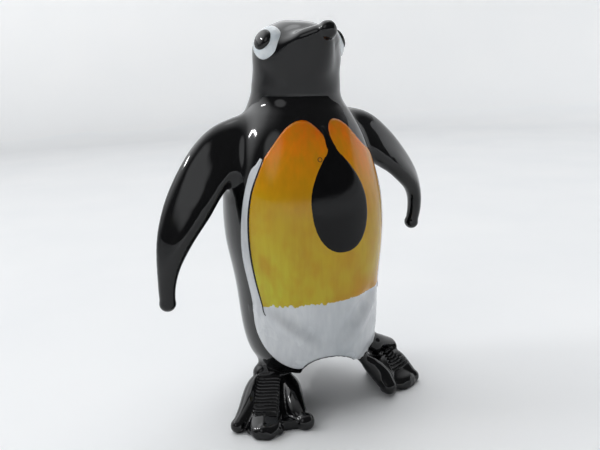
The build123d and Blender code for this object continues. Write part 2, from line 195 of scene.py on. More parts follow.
def square_axes(out):
    """A level and a rising direction, both square to an outward one."""
    level = np.cross(UP, out)
    level /= np.linalg.norm(level)
    return level, np.cross(out, level)


def smoothstep(low, high, value):
    t = np.clip((value - low) / (high - low), 0, 1)
    return t * t * (3 - 2 * t)


CURVE_SAMPLES = 40  # on each stretch between two points
FEWEST_POINTS = 3


def curve(points, spacing, closed=False):
    """A smooth line through points, in even steps."""
    points = np.asarray(points, dtype=float)
    if closed:
        padded = np.vstack([points[-1:], points, points[:2]])
    else:
        padded = np.vstack([points[:1], points, points[-1:]])
    samples = []
    for i in range(len(padded) - 3):
        p0, p1, p2, p3 = padded[i : i + 4]
        square = 2 * p0 - 5 * p1 + 4 * p2 - p3
        cubic = 3 * p1 - p0 - 3 * p2 + p3
        for t in np.linspace(0, 1, CURVE_SAMPLES, endpoint=False):
            samples.append((2 * p1 + (p2 - p0) * t + square * t**2 + cubic * t**3) / 2)
    samples.append(points[0] if closed else points[-1])
    samples = np.array(samples)
    run = np.concatenate([[0], np.cumsum(np.linalg.norm(np.diff(samples, axis=0), axis=1))])
    count = max(int(run[-1] / spacing), FEWEST_POINTS)
    at = np.linspace(0, run[-1], count, endpoint=not closed)
    return np.column_stack([np.interp(at, run, samples[:, axis]) for axis in range(samples.shape[1])])


def ball_mesh(centre, radii, rings=24, sides=48):
    """A closed round bead about a centre, with one radius or its own three."""
    points = [(0.0, 0.0, 1.0)]
    for i in range(1, rings):
        tilt = math.pi * i / rings
        wide = math.sin(tilt)
        for j in range(sides):
            around = 2 * math.pi * j / sides
            points.append((wide * math.cos(around), wide * math.sin(around), math.cos(tilt)))
    points.append((0.0, 0.0, -1.0))
    points = np.array(points) * radii
    faces = [[0, 1 + j, 1 + (j + 1) % sides] for j in range(sides)]
    faces.extend(band_faces(rings - 1, sides, first=1))
    end = len(points) - 1
    low = end - sides
    faces.extend([[end, low + (j + 1) % sides, low + j] for j in range(sides)])
    return points + np.asarray(centre), faces


ROD_STEP = 0.4
ROD_RINGS = 12
ROD_SIDES = 24


def rod_mesh(line, radii):
    """Balls along a smooth line, close enough to melt into one rod."""
    places = curve(np.column_stack([line, radii]), ROD_STEP)
    return merged([ball_mesh(place[:3], place[3], ROD_RINGS, ROD_SIDES) for place in places])


# Flippers: pressed flat rods, swept along their middle lines

# reach, drop, width and thickness, as shares of the sizes below
FLIPPER_SHARES = (
    (0.0, 0.0, 1.0, 1.7),
    (0.24, 0.05, 1.06, 1.55),
    (0.43, 0.125, 1.05, 1.28),
    (0.6, 0.255, 1.0, 1.06),
    (0.74, 0.41, 0.92, 0.96),
    (0.86, 0.57, 0.74, 0.88),
    (0.94, 0.73, 0.51, 0.78),
    (0.985, 0.88, 0.36, 0.72),
    (1.0, 1.0, 0.3, 0.68),
)
SHOULDER_HALF_SPAN = 6.0
SHOULDER_HEIGHT = 50.3
FLIPPER_REACH = 21.0
FLIPPER_WIDTH = 9.4
FLIPPER_THICKNESS = 3.9
FLIPPER_TIP_RADIUS = 1.5
FLIPPER_FACE_ANGLE = math.radians(53)  # of the flat faces, from the front to the side
FLIPPER_STEP_SHARE = 0.012
FLIPPER_SIDES = 64
FLIPPER_PRESS = 0.9  # squares the section off towards flat faces
PRESS_START_SHARES = (0.2, 0.45)  # of the reach, where the pressing sets in
PRESS_END_SHARES = (0.9, 1.0)  # and where it fades out
# side, drop from the shoulder to the tip, and how far the middle line swells outwards
FLIPPERS = {
    "right_flipper": (RIGHT, 28.0, 0.3),
    "left_flipper": (LEFT, 21.4, 2.6),
}


def flipper_mesh(side, drop, bow):
    """A closed flat rod that ends in a ball."""
    reach, fall, width, thickness = curve(FLIPPER_SHARES, FLIPPER_STEP_SHARE).T
    out = SHOULDER_HALF_SPAN + FLIPPER_REACH * reach + bow * np.sin(np.pi * fall)
    middle = np.column_stack([-out, np.zeros(len(out)), SHOULDER_HEIGHT - drop * fall])
    along = unit_rows(np.gradient(middle, axis=0))
    face = np.array([-math.sin(FLIPPER_FACE_ANGLE), -math.cos(FLIPPER_FACE_ANGLE), 0.0])
    chord = unit_rows(np.cross(face, along))
    thick = np.cross(along, chord)
    pressed = smoothstep(*PRESS_START_SHARES, reach) * (1 - smoothstep(*PRESS_END_SHARES, reach))
    exponent = 2 / (2 + FLIPPER_PRESS * pressed)
    angle = np.linspace(0, 2 * np.pi, FLIPPER_SIDES, endpoint=False)
    circle = np.array([np.cos(angle), np.sin(angle)])
    points = []
    for i in range(len(middle)):
        across, through = np.sign(circle) * np.abs(circle) ** exponent[i]
        points.append(
            middle[i]
            + np.outer(across * FLIPPER_WIDTH * width[i] / 2, chord[i])
            + np.outer(through * FLIPPER_THICKNESS * thickness[i] / 2, thick[i])
        )
    points = np.vstack(points)
    faces = band_faces(len(middle), FLIPPER_SIDES)
    faces.append(list(range(FLIPPER_SIDES)))
    faces.append(list(range(len(points) - FLIPPER_SIDES, len(points)))[::-1])
    ball = ball_mesh(middle[-1], FLIPPER_TIP_RADIUS)
    points, faces = merged([(points, faces), ball])
    if side == LEFT:
        points = points * MIRROR
    return points, faces


# Left foot: its inner toe was drawn out from the body's lower edge
TOE_LINE = [(6.2, -11.0, 7.6), (8.4, -11.5, 5.2), (9.8, -12.5, 3.3), (10.1, -14.4, 1.7)]
TOE_RADII = (1.1, 1.6, 1.8, 1.5)

# Beak: a ball tip, and two upper edges that run back from it to the cheeks
BEAK_TIP_RADIUS = 1.6  # a little larger than the node's, because the melting draws it in
CREST_MIDDLE = (2.2, -9.4, 66.0)
CREST_END = (4.5, -6.3, 64.8)
CREST_RADII = (1.3, 1.6, 1.7)


def beak_forms(points):
    """The ball tip and the upper edges, for a beak with these points."""
    tip = (0.0, points[:, 1].min() + BEAK_TIP_RADIUS, points[:, 2].max() - BEAK_TIP_RADIUS)
    forms = [ball_mesh(tip, BEAK_TIP_RADIUS)]
    for side in (RIGHT, LEFT):
        crest_line = [tip] + [(side * x, y, z) for x, y, z in (CREST_MIDDLE, CREST_END)]
        forms.append(rod_mesh(crest_line, CREST_RADII))
    return forms


# The glass body: every black piece as one skin, with the joins melted together

VOXEL = 0.22  # size of the skin's quads

solids = {label: merged([node_arrays(label)]) for label in LABELS}
solids["torso"] = merged([solids["torso"], *map(node_arrays, INLAYS)])
for label, sizes in FLIPPERS.items():
    solids[label] = flipper_mesh(*sizes)
solids["left_foot"] = merged([solids["left_foot"], rod_mesh(TOE_LINE, TOE_RADII)])
solids["beak"] = merged([solids["beak"], *beak_forms(solids["beak"][0])])
body, quads = remeshed(*merged(solids.values()), VOXEL)
edges = edges_of(quads)

NEAR_REACH = 6.0  # solids further off play no part at a point
TORSO_LEAD = 0.02  # where two solids are as near, the torso wins

distance = np.full((len(body), len(LABELS)), FAR)
for column, label in enumerate(LABELS):
    points, faces = solids[label]
    solid_tree = BVHTree.FromPolygons(points.tolist(), faces)
    low = points.min(axis=0) - NEAR_REACH
    high = points.max(axis=0) + NEAR_REACH
    for i in np.flatnonzero(np.all((body > low) & (body < high), axis=1)):
        gap = solid_tree.find_nearest(body[i], NEAR_REACH)[3]
        if gap is not None:
            distance[i, column] = gap
distance[:, LABELS.index("torso")] -= TORSO_LEAD
point_label = distance.argmin(axis=1)
second_nearest = np.sort(distance, axis=1)[:, 1]
on_foot = np.isin(point_label, [LABELS.index("right_foot"), LABELS.index("left_foot")])

PLAIN_MELT = 2.6  # how far a join's melting reaches
OTHER_MELTS = {"beak": 1.6, "right_flipper": 4.0, "left_flipper": 4.0}
MELT_FALL = 1.5
MELT_ROUNDS = 220
FOOT_MELT_SHARE = 0.6
POLISH_ROUNDS = 60
POLISH_BACK = 0.52
FOOT_POLISH_SHARE = 0.5

melt_reach = np.array([OTHER_MELTS.get(label, PLAIN_MELT) for label in LABELS])[point_label]
melt = np.clip(1 - second_nearest / melt_reach, 0, 1) ** MELT_FALL
melt[on_foot] *= FOOT_MELT_SHARE
body = smoothed(body, edges, melt, MELT_ROUNDS)
body = smoothed(body, edges, np.where(on_foot, FOOT_POLISH_SHARE, 1.0), POLISH_ROUNDS, POLISH_BACK)

# Belly: the thighs swell on both sides of a hollow that narrows down to the arch between the legs

# right and left thigh's edge seen from the front, as sideways place and height
THIGH_EDGES = (
    [(-13.0, 21.0), (-9.0, 16.6), (-4.0, 11.8)],
    [(9.5, 20.8), (3.4, 15.5), (-0.2, 11.8)],
)
THIGH_STEP = 0.3
THIGH_FADE = 0.7  # less keeps the relief fuller near the edge's ends
RIDGE = 0.55
RIDGE_WIDTH = 1.1
HOLLOW = 0.7
HOLLOW_WIDTH = 1.5
HOLLOW_INSET = 2.2  # deepest line of the hollow, inwards from the thigh's edge
BELLY_FRONT = -4.0  # the relief is only on what lies in front of this
BELLY_HEIGHTS = (8.0, 26.0)


def belly_relief(points):
    """How far the thighs' edges and the hollow beside them raise each point."""
    raised = np.zeros(len(points))
    between = (points[:, 2] > BELLY_HEIGHTS[0]) & (points[:, 2] < BELLY_HEIGHTS[1])
    on_belly = np.flatnonzero((points[:, 1] < BELLY_FRONT) & between)
    view = points[on_belly][:, [0, 2]]
    for inwards, edge in zip((-RIGHT, -LEFT), THIGH_EDGES):
        line = curve(edge, THIGH_STEP)
        apart = np.linalg.norm(view[:, None, :] - line[None, :, :], axis=2)
        nearest = apart.argmin(axis=1)
        gap = apart.min(axis=1) * np.sign(inwards * (view[:, 0] - line[nearest, 0]))
        fade = np.sin(np.pi * nearest / (len(line) - 1)) ** THIGH_FADE
        raised[on_belly] += RIDGE * fade * np.exp(-((gap / RIDGE_WIDTH) ** 2))
        raised[on_belly] -= HOLLOW * fade * np.exp(-(((gap - HOLLOW_INSET) / HOLLOW_WIDTH) ** 2))
    return raised


# Hand work: very slight waves all over
WAVE_SCALE = 0.13
WAVE_HEIGHT = 0.12
FOOT_WAVE_HEIGHT = 0.06

normals = point_normals(body, quads)
body += normals * belly_relief(body)[:, None]
wave = np.array([noise.noise(Vector(point) * WAVE_SCALE) for point in body])
body += normals * (wave * np.where(on_foot, FOOT_WAVE_HEIGHT, WAVE_HEIGHT))[:, None]
body[:, 2] = np.maximum(body[:, 2], 0.0)
normals = point_normals(body, quads)


# Pieces of the object


def smooth_mesh(name, points, faces):
    mesh = bpy.data.meshes.new(name)
    mesh.from_pydata(points, [], faces)
    mesh.validate()
    mesh.polygons.foreach_set("use_smooth", np.ones(len(mesh.polygons), dtype=bool))
    return mesh


def piece(name, points, faces, slot_name, normals_at=None):
    """Makes a piece of the object from millimetre points, riding on the one body."""
    places = (np.asarray(points) * MM + ORIGIN).tolist()
    mesh = smooth_mesh(name, places, [list(map(int, face)) for face in faces])
    if normals_at is not None:
        mesh.normals_split_custom_set_from_vertices(normals_at.tolist())
    mesh.update()
    made = add_object(name, mesh)
    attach(made, "root")
    return made


def neighbours(loop):
    """Each entry of a closed run with the one after it."""
    return zip(loop, loop[1:] + loop[:1])


def boundary_loops(faces):
    """Closed runs of the edges that only one face uses, in the faces' own turn."""
    used = {}
    for face in faces:
        for a, b in neighbours(face):
            if (b, a) in used:
                del used[(b, a)]
            else:
                used[(a, b)] = True
    following = {}
    for a, b in used:
        following.setdefault(a, []).append(b)
    loops = []
    while following:
        start = next(iter(following))
        loop = [start]
        while True:
            here = loop[-1]
            after = following[here].pop()
            if not following[here]:
                del following[here]
            if after == start:
                break
            loop.append(after)
        loops.append(loop)
    return loops


# Ribs pressed into each foot by pliers

PRESS_FORWARD = 6.0
PRESS_HEIGHT = 4.4
PRESS_SLOPE = math.radians(24)
PRESS_LENGTH = 9.2
PRESS_WIDTH = 4.6
PRESS_MARGIN = 0.3  # the mesh is cut finer this far beyond the sides
PRESS_FULL_GAP = 0.6  # the ribs are full this near to the pressed plane
PRESS_LAST_GAP = 0.9  # and end here
PRESS_CUTS = 3
RIB_COUNT = 13
RIB_HEIGHT = 0.32
RIB_SINK = 0.2
RIB_ROUNDNESS = 0.8  # 1 is a plain wave, less has broader ribs
RIB_END_FADE = 0.5
RIB_SIDE_FADE = 0.45
RIB_WAVER = 0.04  # how far the ribs stray from straight lines
RIB_WAVER_RATE = 1.3
# side, ankle's place out to the side and forwards, splay and share of the right foot's length
FEET = {
    "right_foot": (RIGHT, 9.6, 3.6, math.radians(33), 1.0),
    "left_foot": (LEFT, 13.5, 7.2, math.radians(12), 0.54),
}


def press_axes(side, ankle_out, ankle_forward, splay, share):
    """Middle of the pressed face, its way down the slope, across, and out of the face."""
    heading = np.array([side * math.sin(splay), -math.cos(splay), 0.0])
    middle = np.array([side * ankle_out, -ankle_forward, PRESS_HEIGHT]) + heading * PRESS_FORWARD * share
    down = heading * math.cos(PRESS_SLOPE) - np.array([0, 0, math.sin(PRESS_SLOPE)])
    out = heading * math.sin(PRESS_SLOPE) + np.array([0, 0, math.cos(PRESS_SLOPE)])
    return middle, down, np.cross(out, down), out


def ribbed(points, faces, place):
    """A foot whose pressed face is cut finer and gets its ribs."""
    middle, down, across, out = press_axes(*place)
    share = place[-1]
    length = PRESS_LENGTH * share
    pitch = length / round(RIB_COUNT * share)
    mesh = bmesh.new()
    made = [mesh.verts.new(p) for p in points]
    for face in faces:
        mesh.faces.new([made[i] for i in face])

    def on_press(point):
        """How far a point lies down the pressed face, across it and out of it."""
        local = np.array(point) - middle
        return local @ down, local @ across, local @ out

    chosen = set()
    for face in mesh.faces:
        run, aside, height = on_press(face.calc_center_median())
        along_press = abs(run) < length / 2 and abs(aside) < PRESS_WIDTH / 2 + PRESS_MARGIN
        if along_press and abs(height) < PRESS_LAST_GAP:
            chosen.update(face.edges)
    cut_edges = [edge for edge in mesh.edges if edge in chosen]
    bmesh.ops.subdivide_edges(mesh, edges=cut_edges, cuts=PRESS_CUTS, use_grid_fill=True)
    for vertex in mesh.verts:
        run, aside, height = on_press(vertex.co)
        mask = smoothstep(0, RIB_END_FADE, length / 2 - abs(run))
        mask *= smoothstep(0, RIB_SIDE_FADE, PRESS_WIDTH / 2 - abs(aside))
        mask *= 1 - smoothstep(PRESS_FULL_GAP, PRESS_LAST_GAP, abs(height))
        if mask > 0:
            phase = 2 * math.pi * (run + RIB_WAVER * math.sin(aside * RIB_WAVER_RATE)) / pitch
            ridge = (0.5 + 0.5 * math.cos(phase)) ** RIB_ROUNDNESS
            vertex.co += Vector(out * float(mask) * (RIB_HEIGHT * ridge - RIB_SINK))
    mesh.verts.index_update()
    rib_points = np.array([vertex.co[:] for vertex in mesh.verts])
    rib_faces = [[vertex.index for vertex in face.verts] for face in mesh.faces]
    mesh.free()
    return rib_points, rib_faces


def closed_part(own_quads):
    """Part of the skin as points, faces and normals, with each open edge closed by a fan."""
    used, inverse = np.unique(own_quads, return_inverse=True)
    points = body[used]
    ways = normals[used]
    faces = [list(face) for face in inverse.reshape(-1, 4)]
    for loop in boundary_loops(faces):
        hub = len(points)
        points = np.vstack([points, points[loop].mean(axis=0)])
        ways = np.vstack([ways, UP])
        faces.extend([[b, a, hub] for a, b in neighbours(loop)])
    return points, faces, ways


# Each glass piece is its own closed mesh, cut from the common skin
face_label = distance[quads].sum(axis=1).argmin(axis=1)
glass_pieces = []
for column, label in enumerate(LABELS):
    points, faces, ways = closed_part(quads[face_label == column])
    if label in FEET:
        points, faces = ribbed(points, faces, FEET[label])
        ways = None
    made = piece(f"glass_{label}", points, faces, "black_glass", ways)
    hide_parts(label)
    glass_pieces.append(made)

# Enamel: thin coats laid on the torso, drawn as outlines of rolled-out place and height

skin_tree = BVHTree.FromPolygons(body.tolist(), quads.tolist())
torso_tree = BVHTree.FromPolygons(body.tolist(), quads[face_label == LABELS.index("torso")].tolist())
TORSO_LEAN = 2.4  # how far the neck stands behind the torso's underside
ROLL = 14.0  # radius that turns an angle into a length for laying out the coats
OUTSIDE = 3 * ROLL  # well outside the torso
ARCH_CLEAR = 14.0  # below this height the torso is hollowed by the arch, so it is met from outside


def axis_y(height):
    """Where the torso's leaning axis stands at a height."""
    return TORSO_LEAN * (height - NECK_HEIGHT) / (NECK_HEIGHT - TORSO_BASE)


def on_skin(u, height):
    """Point and outward normal of the torso at a rolled-out place."""
    angle = u / ROLL
    way = Vector((math.sin(angle), -math.cos(angle), 0))
    start = Vector((0, axis_y(height), height))
    if height < ARCH_CLEAR:
        hit, normal, _, _ = torso_tree.ray_cast(start + way * OUTSIDE, -way)
    else:
        hit, normal, _, _ = skin_tree.ray_cast(start, way)
    if hit is None:
        hit, normal, _, _ = torso_tree.find_nearest(start + way * ROLL)
    return np.array(hit), np.array(normal)


def u_at(x, height):
    """The rolled-out place of a point of the front view."""
    hit, _, _, _ = skin_tree.ray_cast(Vector((x, -OUTSIDE, height)), Vector((0, 1, 0)))
    return ROLL * math.atan2(x, axis_y(height) - hit.y)


def front(points):
    """Rolled-out places of points of the front view, given as sideways place and height."""
    return [(u_at(x, z), z) for x, z in points]


def turned(points):
    """Rolled-out places of points that are given as the angle from the front, in degrees, and height."""
    return [(ROLL * math.radians(angle), z) for angle, z in points]


COAT_STEP = 0.34  # between the points inside a coat
COAT_ROW_SHARE = 0.87  # of the step, from one row of points to the next
COAT_SCATTER = 0.03
COAT_CLEAR = 0.12  # the points inside keep this far from the outline
COAT_EDGE = 0.012  # by which even the thin edge stands out
COAT_SINK = 0.16  # by which the underside lies in the glass
COAT_TAPER = 0.3  # a coat thins out over this far to its edge
LAYING_TOLERANCE = 1e-5
OUTLINE_STEP = 0.2


def scattered(outline, seed):
    """A slightly uneven grid of points over an outline's box."""
    low, high = outline.min(axis=0), outline.max(axis=0)
    grid = []
    for row, v in enumerate(np.arange(low[1], high[1], COAT_STEP * COAT_ROW_SHARE)):
        for u in np.arange(low[0] + (row % 2) * COAT_STEP / 2, high[0], COAT_STEP):
            grid.append((u, v))
    generator = np.random.default_rng(seed)
    return np.array(grid) + generator.uniform(-COAT_SCATTER, COAT_SCATTER, (len(grid), 2))


def within(places, outline):
    """Whether each place lies inside a closed outline, and how far it is from its edge."""
    inside = np.zeros(len(places), dtype=bool)
    gap = np.full(len(places), FAR)
    for p, q in zip(outline, np.roll(outline, -1, axis=0)):
        span = q - p
        if span[1] != 0:
            crosses = (p[1] > places[:, 1]) != (q[1] > places[:, 1])
            inside ^= crosses & (places[:, 0] < span[0] * (places[:, 1] - p[1]) / span[1] + p[0])
        t = np.clip(((places - p) @ span) / max(span @ span, TINY), 0, 1)
        gap = np.minimum(gap, np.linalg.norm(places - p - t[:, None] * span, axis=1))
    return inside, gap


def laid(name, outline, inner, inner_gaps, lift, slot_name, taper):
    """A thin closed coat on the torso, thinning out to nothing at its outline."""
    flat = [Vector(place) for place in np.vstack([outline, inner])]
    gaps = np.concatenate([np.zeros(len(outline)), inner_gaps])
    rim = list(neighbours(list(range(len(outline)))))
    places, _, triangles, sources, _, _ = geometry.delaunay_2d_cdt(flat, rim, [], 1, LAYING_TOLERANCE)
    top = []
    under = []
    for place, source in zip(places, sources):
        gap = min((gaps[i] for i in source), default=0.0)
        hit, normal = on_skin(place.x, place.y)
        top.append(hit + normal * (lift * float(smoothstep(0, taper, gap)) + COAT_EDGE))
        under.append(hit - normal * COAT_SINK)
    count = len(top)
    faces = [list(triangle) for triangle in triangles]
    shell = faces + [[i + count for i in reversed(face)] for face in faces]
    for loop in boundary_loops(faces):
        shell.extend([[b, a, a + count, b + count] for a, b in neighbours(loop)])
    return piece(name, np.array(top + under), shell, slot_name)


def coat(name, outline, lift, slot_name, seed, taper=COAT_TAPER):
    """A coat that fills an outline."""
    grid = scattered(outline, seed)
    inside, gap = within(grid, outline)
    keep = inside & (gap > COAT_CLEAR)
    return laid(name, outline, grid[keep], gap[keep], lift, slot_name, taper)


# Edges of the coats, as the angle from the front and the height
WHITE_RIGHT_SIDE = [
    (-57.5, 47), (-60.5, 46), (-66.5, 44), (-72.5, 36.5), (-76, 29),
    (-74.5, 21), (-75, 16.5), (-69, 13), (-58, 10.3), (-46, 9),
]
WHITE_LEFT_SIDE = [(26, 7.6), (45, 8.2), (66, 12.5), (72, 17), (70, 24), (66, 36), (60, 44.5), (56, 46.5)]
YELLOW_RIGHT_SIDE = [(-56, 46), (-63, 41), (-66.5, 34), (-66.5, 26), (-64, 20.7)]
YELLOW_LEFT_SIDE = [(58.5, 21.3), (60.5, 25.5), (58, 35), (56.5, 41), (53.5, 46)]
HIDDEN_SHARE = 0.9  # the white runs on under the yellow to this share of the yellow's angles
HIDDEN_LOW = 23.5  # and up to this height
# Top of the yellow, two lobes with the drop's neck between, as sideways and height seen from the front
LOBES = [
    (7.5, 48.3), (4.2, 51.8), (1.7, 52.8), (0.3, 51.6), (0.2, 49), (0.5, 48.2),
    (-0.8, 48.2), (-1.2, 50.5), (-3.4, 52.8), (-6.4, 51.9), (-9.8, 48),
]

# The drop seen from the front
DROP_MIDDLE = (0.17, 38.4)
DROP_HALF_WIDTH = 5.9
DROP_DEPTH = 8.25  # from the widest place down
DROP_HEIGHT = 9.6  # from the widest place up to the neck
DROP_FULLNESS = 0.9  # 1 is a plain oval, less is fuller
DROP_TAPER = 1.1  # 1 is a plain arc up to the neck, more draws it in sooner
DROP_LEAN = -0.03  # sideways for each millimetre up, towards the figure's right
DROP_POINTS = 9  # on each quarter
DROP_RESTART_SHARE = 0.12  # of the height, where the upper quarter's points begin
NECK_HALF_WIDTH = 1.25
NECK_TOP = (-0.75, 51.5)
NECK_TIP = 0.3


def drop_outline():
    """Half an oval below, drawn in to a neck that runs up between the lobes."""
    left_half = []
    for turn in np.linspace(0, math.pi / 2, DROP_POINTS):
        full = math.sin(turn) ** DROP_FULLNESS
        deep = math.cos(turn) ** DROP_FULLNESS
        left_half.append((DROP_HALF_WIDTH * full, -DROP_DEPTH * deep))
    for share in np.linspace(DROP_RESTART_SHARE, 1, DROP_POINTS):
        half = NECK_HALF_WIDTH + (DROP_HALF_WIDTH - NECK_HALF_WIDTH) * (1 - share**2) ** DROP_TAPER
        left_half.append((half, DROP_HEIGHT * share))
    right_half = [(-half, rise) for half, rise in reversed(left_half[1:])]
    top = [(NECK_TOP[0] + NECK_TIP, NECK_TOP[1]), (NECK_TOP[0] - NECK_TIP, NECK_TOP[1])]

    def placed(points):
        x, z = DROP_MIDDLE
        return [(x + half + DROP_LEAN * max(rise, 0), z + rise) for half, rise in points]

    return placed(left_half) + top + placed(right_half)


# The arch between the legs, a tunnel that faces somewhat to the figure's right
ARCH_TURN = math.radians(28)
ARCH_OFFSET = 4.0  # tunnel's middle from the neck's axis, square to the way it faces
ARCH_HALF_WIDTH = 5.4
ARCH_RISE = 4.3
ARCH_ANGLES = (152, 14)  # where the white's edge meets the arch and leaves it, in degrees
ARCH_POINTS = 15


def arch_edge():
    """Rolled-out places just above the arch, from the figure's right to its left."""
    aside = Vector((math.cos(ARCH_TURN), -math.sin(ARCH_TURN), 0))
    facing = Vector((-math.sin(ARCH_TURN), -math.cos(ARCH_TURN), 0))
    edge = []
    for turn in np.radians(np.linspace(*ARCH_ANGLES, ARCH_POINTS)):
        height = TORSO_BASE + ARCH_RISE * math.sin(turn)
        across = ARCH_OFFSET + ARCH_HALF_WIDTH * math.cos(turn)
        start = aside * across + facing * OUTSIDE + Vector((0, 0, height))
        hit, _, _, _ = torso_tree.ray_cast(start, -facing)
        if hit is not None:
            edge.append((ROLL * math.atan2(hit.x, axis_y(height) - hit.y), height))
    return edge


BRUSH_STEP = 0.13
BRUSH_RISE = 0.5  # how far the edge climbs at its middle
BRUSH_HEIGHT = 0.8
BRUSH_WAVES = ((1.5, 0.3, 7.1), (3.6, 5.2, 1.7))  # waves for each millimetre, and a place in the noise
BRUSH_FINE_SHARE = 0.9  # of the coarse waves' height
RAGGED_START_SHARES = (0.03, 0.1)  # of the edge, where the ragged stretch sets in
RAGGED_END_SHARES = (0.34, 0.46)  # and where it gives way to the calm one
CALM_SHARE = 0.85  # of the raggedness that the calm stretch lacks


def brushed_edge(right, left):
    """The lower end of the yellow strokes, ragged on the figure's right and calm on its left."""
    line = []
    for u in np.arange(right[0], left[0], BRUSH_STEP):
        share = (u - right[0]) / (left[0] - right[0])
        height = right[1] + (left[1] - right[1]) * share + BRUSH_RISE * math.sin(math.pi * share)
        ragged = smoothstep(*RAGGED_START_SHARES, share)
        ragged *= 1 - CALM_SHARE * smoothstep(*RAGGED_END_SHARES, share)
        coarse, fine = [noise.noise(Vector((u * rate, y, z))) for rate, y, z in BRUSH_WAVES]
        line.append((u, height + float(ragged) * BRUSH_HEIGHT * (coarse + BRUSH_FINE_SHARE * fine)))
    return line


BELLY_LIFT = 0.07
CHEST_LIFT = 0.15
DROP_LIFT = 0.21
DROP_EDGE_TAPER = 0.7

white_sides = turned(WHITE_RIGHT_SIDE) + arch_edge() + turned(WHITE_LEFT_SIDE)
yellow_edge = YELLOW_LEFT_SIDE[::-1] + YELLOW_RIGHT_SIDE[::-1]
white_top = [(HIDDEN_SHARE * angle, max(height, HIDDEN_LOW)) for angle, height in yellow_edge]
white_outline = np.vstack([curve(white_sides, OUTLINE_STEP), curve(turned(white_top), OUTLINE_STEP)])
belly = coat("enamel_belly", white_outline, BELLY_LIFT, "white_enamel", seed=3)
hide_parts("belly_enamel")

yellow_low = brushed_edge(turned(YELLOW_RIGHT_SIDE)[-1], turned(YELLOW_LEFT_SIDE)[0])
yellow_sides = turned(YELLOW_LEFT_SIDE) + front(LOBES) + turned(YELLOW_RIGHT_SIDE)
yellow_outline = np.vstack([curve(yellow_sides, OUTLINE_STEP), yellow_low])
chest = coat("enamel_chest", yellow_outline, CHEST_LIFT, "yellow_enamel", seed=5)
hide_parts("chest_enamel")

drop_edge = curve(front(drop_outline()), OUTLINE_STEP, closed=True)
drop_coat = coat("enamel_drop", drop_edge, DROP_LIFT, "black_enamel", seed=7, taper=DROP_EDGE_TAPER)
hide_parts("throat_drop")

# Fine black strokes along both sides of the yellow
STROKE_WIDTH = 0.5
STROKE_LIFT = 0.18
STROKE_TAPER = 0.1
STROKE_RIDGE_SHARE = 0.55  # of the half width, where the stroke's full height begins
STROKE_TIP_SHARES = (0.04, 0.97)  # of half a wave, so that the stroke starts and ends thin
STROKE_LEAST_SHARE = 0.02


def stroke(name, line):
    """A fine painted line that thins out at both ends."""
    line = curve(line, OUTLINE_STEP)
    way = unit_rows(np.gradient(line, axis=0))
    aside = np.column_stack([-way[:, 1], way[:, 0]])
    swell = np.sin(np.pi * np.linspace(*STROKE_TIP_SHARES, len(line)))
    half = STROKE_WIDTH / 2 * np.sqrt(np.clip(swell, STROKE_LEAST_SHARE, 1))
    reach = aside * half[:, None]
    rim = np.vstack([line + reach, (line - reach)[::-1]])
    ridges = [(line + reach * share)[1:-1] for share in (STROKE_RIDGE_SHARE, -STROKE_RIDGE_SHARE)]
    inner = np.vstack(ridges)
    full = np.full(len(inner), STROKE_TAPER)
    return laid(name, rim, inner, full, STROKE_LIFT, "black_enamel", STROKE_TAPER)


right_line = [(-54.5, 47.0)] + YELLOW_RIGHT_SIDE[:-1] + [(-63.5, 20.6), (-61.0, 19.3)]
left_line = [(57.5, 19.9)] + YELLOW_LEFT_SIDE[1:] + [(52.0, 47.0)]
strokes = [stroke("outline_right", turned(right_line)), stroke("outline_left", turned(left_line))]

# A burst bubble in the yellow: a small ring on its skin
BUBBLE_PLACE = (-2.7, 46.4)
BUBBLE_RADIUS = 0.36
BUBBLE_TUBE = 0.11
BUBBLE_LIFT = 0.08


def ring_mesh(centre, out, radius, tube, rings=32, sides=12):
    """A closed round ring about an outward direction."""
    level, rise = square_axes(out)
    points = []
    for i in range(rings):
        around = 2 * math.pi * i / rings
        spoke = level * math.cos(around) + rise * math.sin(around)
        for j in range(sides):
            turn = 2 * math.pi * j / sides
            points.append(centre + spoke * (radius + tube * math.cos(turn)) + out * tube * math.sin(turn))
    faces = [[i % len(points) for i in face] for face in band_faces(rings + 1, sides)]
    return points, faces


bubble_at, bubble_out = on_skin(u_at(*BUBBLE_PLACE), BUBBLE_PLACE[1])
bubble_ring = ring_mesh(bubble_at + bubble_out * BUBBLE_LIFT, bubble_out, BUBBLE_RADIUS, BUBBLE_TUBE)
bubble = piece("bubble_rim", *bubble_ring, "yellow_enamel")

# Eyes: flattened beads of white glass with black pupils set in them

EYE_SEAT = np.array([-7.03, -3.63, NECK_HEIGHT + 10.5])
EYE_FRONT = math.radians(22)
EYE_RISE = math.radians(24)
EYE_RADII = (2.95, 2.95, 1.75)
EYE_SINK = 0.75  # the white bead's middle lies this far inside its seat
PUPIL_RADII = (1.9, 1.8, 0.75)
PUPIL_BACK = math.radians(6)  # the pupil looks this far behind the white bead's middle
PUPIL_OUT = 1.35  # from the white bead's middle to the pupil's
BEAD_RINGS = 32
BEAD_SIDES = 64
BEAD_UNEVENNESS = 0.03
BEAD_WAVE_SCALE = 0.6


def eye_way(front_angle):
    """The way the right eye looks, turned from the side to the front by an angle."""
    level = math.cos(EYE_RISE)
    return np.array([-level * math.cos(front_angle), -level * math.sin(front_angle), math.sin(EYE_RISE)])


